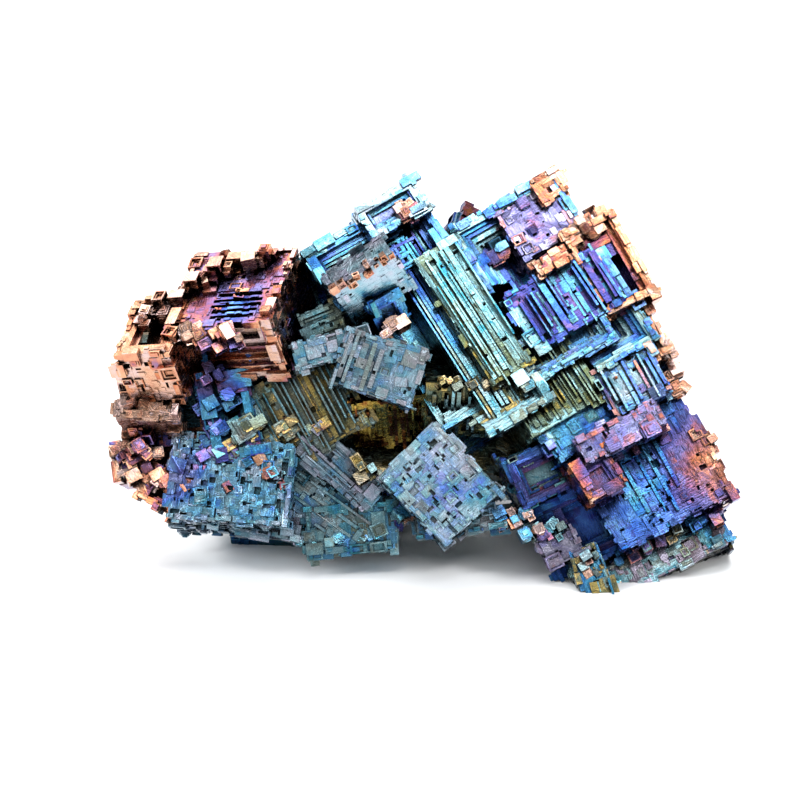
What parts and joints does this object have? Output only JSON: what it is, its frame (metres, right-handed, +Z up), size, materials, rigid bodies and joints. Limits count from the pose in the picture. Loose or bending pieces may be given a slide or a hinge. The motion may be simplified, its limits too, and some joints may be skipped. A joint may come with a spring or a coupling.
{
  "type": "bismuth hopper crystal",
  "caption": "Cluster of iridescent bismuth hopper crystals grown together, with stepped square hollows, standing free on its own uneven feet.",
  "frame": {"origin": "on the surface that the cluster rests on, under the middle of its box", "axes": "+X along the cluster's length to the right as seen from its display side, +Y to its back, +Z up"},
  "size_m": [0.0622, 0.0326, 0.038],
  "materials": {
    "oxidised_bismuth": "bright metal under a thin iridescent oxide: copper tan and orange rims, purple, deep blue, teal and olive hollows"
  },
  "bodies": {
    "root": {"crystal_cluster": "oxidised_bismuth"}
  },
  "joints": []
}
